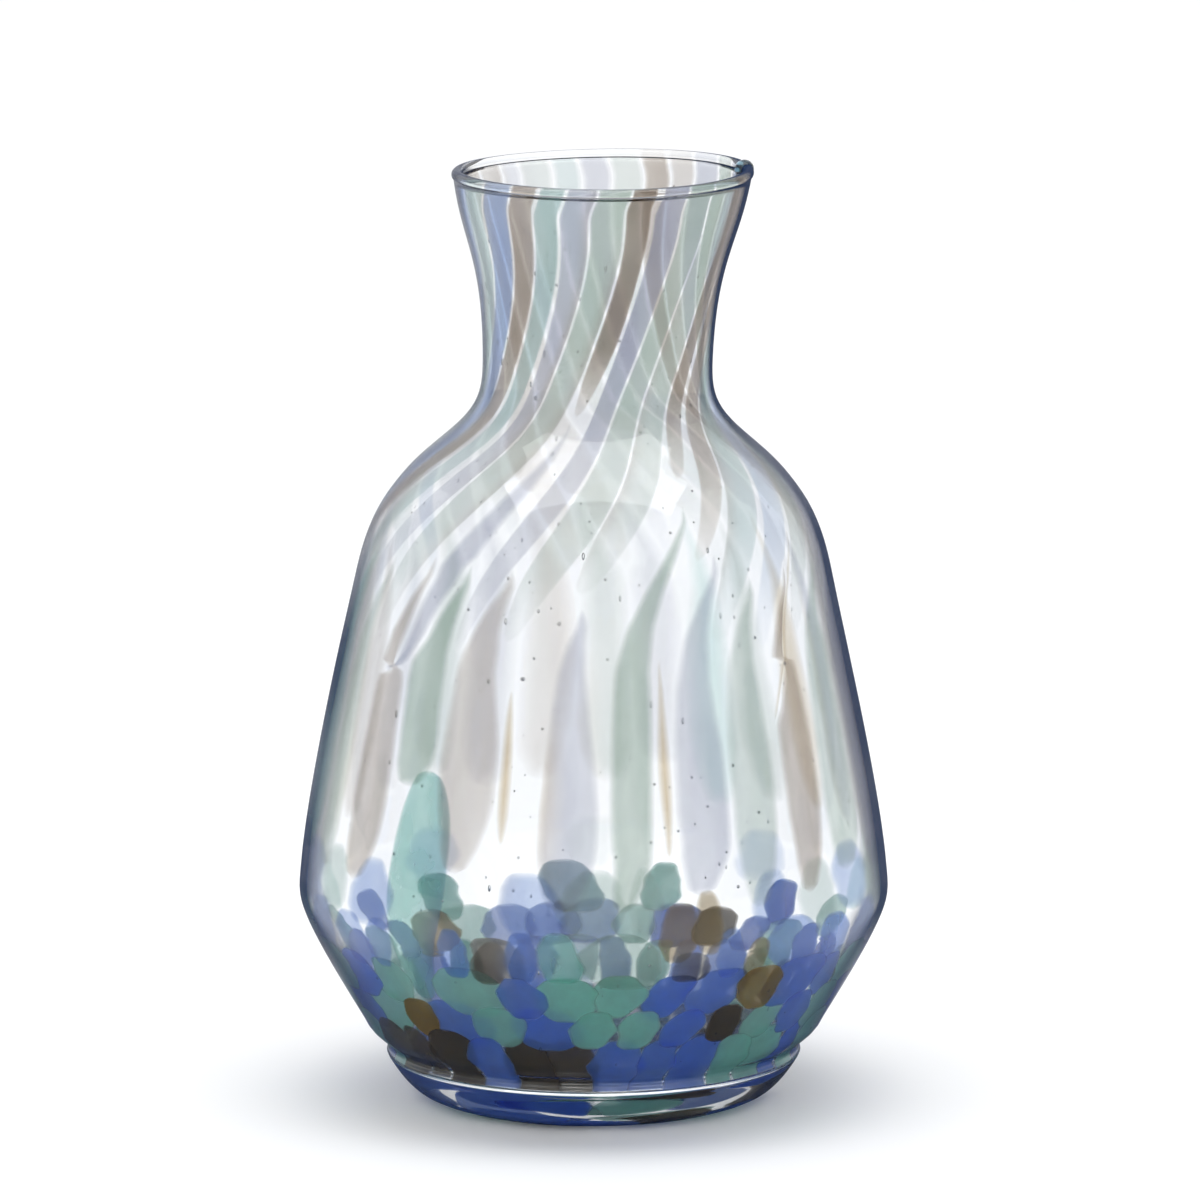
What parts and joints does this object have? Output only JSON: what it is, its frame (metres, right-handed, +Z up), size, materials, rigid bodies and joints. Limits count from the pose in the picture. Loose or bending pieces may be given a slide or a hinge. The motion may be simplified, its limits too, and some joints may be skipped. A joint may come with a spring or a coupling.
{
  "type": "vase",
  "caption": "Blown glass vase with a heavy round foot, angled belt, tapering body, narrow throat and flared lip, with coloured glass chips under a clear casing.",
  "frame": {"origin": "centre of the foot's flat, on the table", "axes": "+Z up along the axis of the vase, +X to the right of a viewer who stands at -Y, with the bead on the lip near +X"},
  "size_m": [0.125, 0.125, 0.2008],
  "materials": {
    "clear_glass": "clear, fire polished, with small seed bubbles",
    "lip_glass": "clear, fire polished, faint blue-green",
    "bead_glass": "blue-green, fire polished",
    "cobalt_glass": "opalescent cobalt blue chips under a polished clear casing",
    "mint_glass": "opalescent mint green chips under a polished clear casing",
    "umber_glass": "dense umber brown chips under a polished clear casing",
    "pale_blue_glass": "opalescent pale blue chips under a polished clear casing",
    "ochre_glass": "translucent ochre brown chips under a polished clear casing",
    "celadon_glass": "milky celadon chips, stretched thin, under a polished clear casing",
    "lilac_glass": "milky lilac grey chips, stretched thin, under a polished clear casing",
    "sand_glass": "milky sand chips, stretched thin, under a polished clear casing",
    "amber_glass": "pale amber chips, stretched thin, under a polished clear casing",
    "teal_glass": "milky teal chips, stretched thin, under a polished clear casing"
  },
  "bodies": {
    "root": {"foot_pad": "clear_glass", "taper_casing": "clear_glass", "side_casing": "clear_glass", "shoulder_casing": "clear_glass", "neck_casing": "clear_glass", "inner_lining": "clear_glass", "lip_roll": "lip_glass", "lip_bead": "bead_glass", "floor_cobalt": "cobalt_glass", "floor_mint": "mint_glass", "floor_umber": "umber_glass", "foot_cobalt": "cobalt_glass", "foot_mint": "mint_glass", "foot_pale_blue": "pale_blue_glass", "foot_ochre": "ochre_glass", "foot_umber": "umber_glass", "belt_cobalt": "cobalt_glass", "belt_mint": "mint_glass", "belt_celadon": "celadon_glass", "belt_ochre": "ochre_glass", "belt_umber": "umber_glass", "body_mint": "mint_glass", "body_celadon": "celadon_glass", "body_lilac": "lilac_glass", "body_sand": "sand_glass", "body_amber": "amber_glass", "streak_celadon": "celadon_glass", "streak_lilac": "lilac_glass", "streak_teal": "teal_glass", "streak_umber": "umber_glass", "streak_pale_blue": "pale_blue_glass", "streak_sand": "sand_glass"}
  },
  "joints": []
}
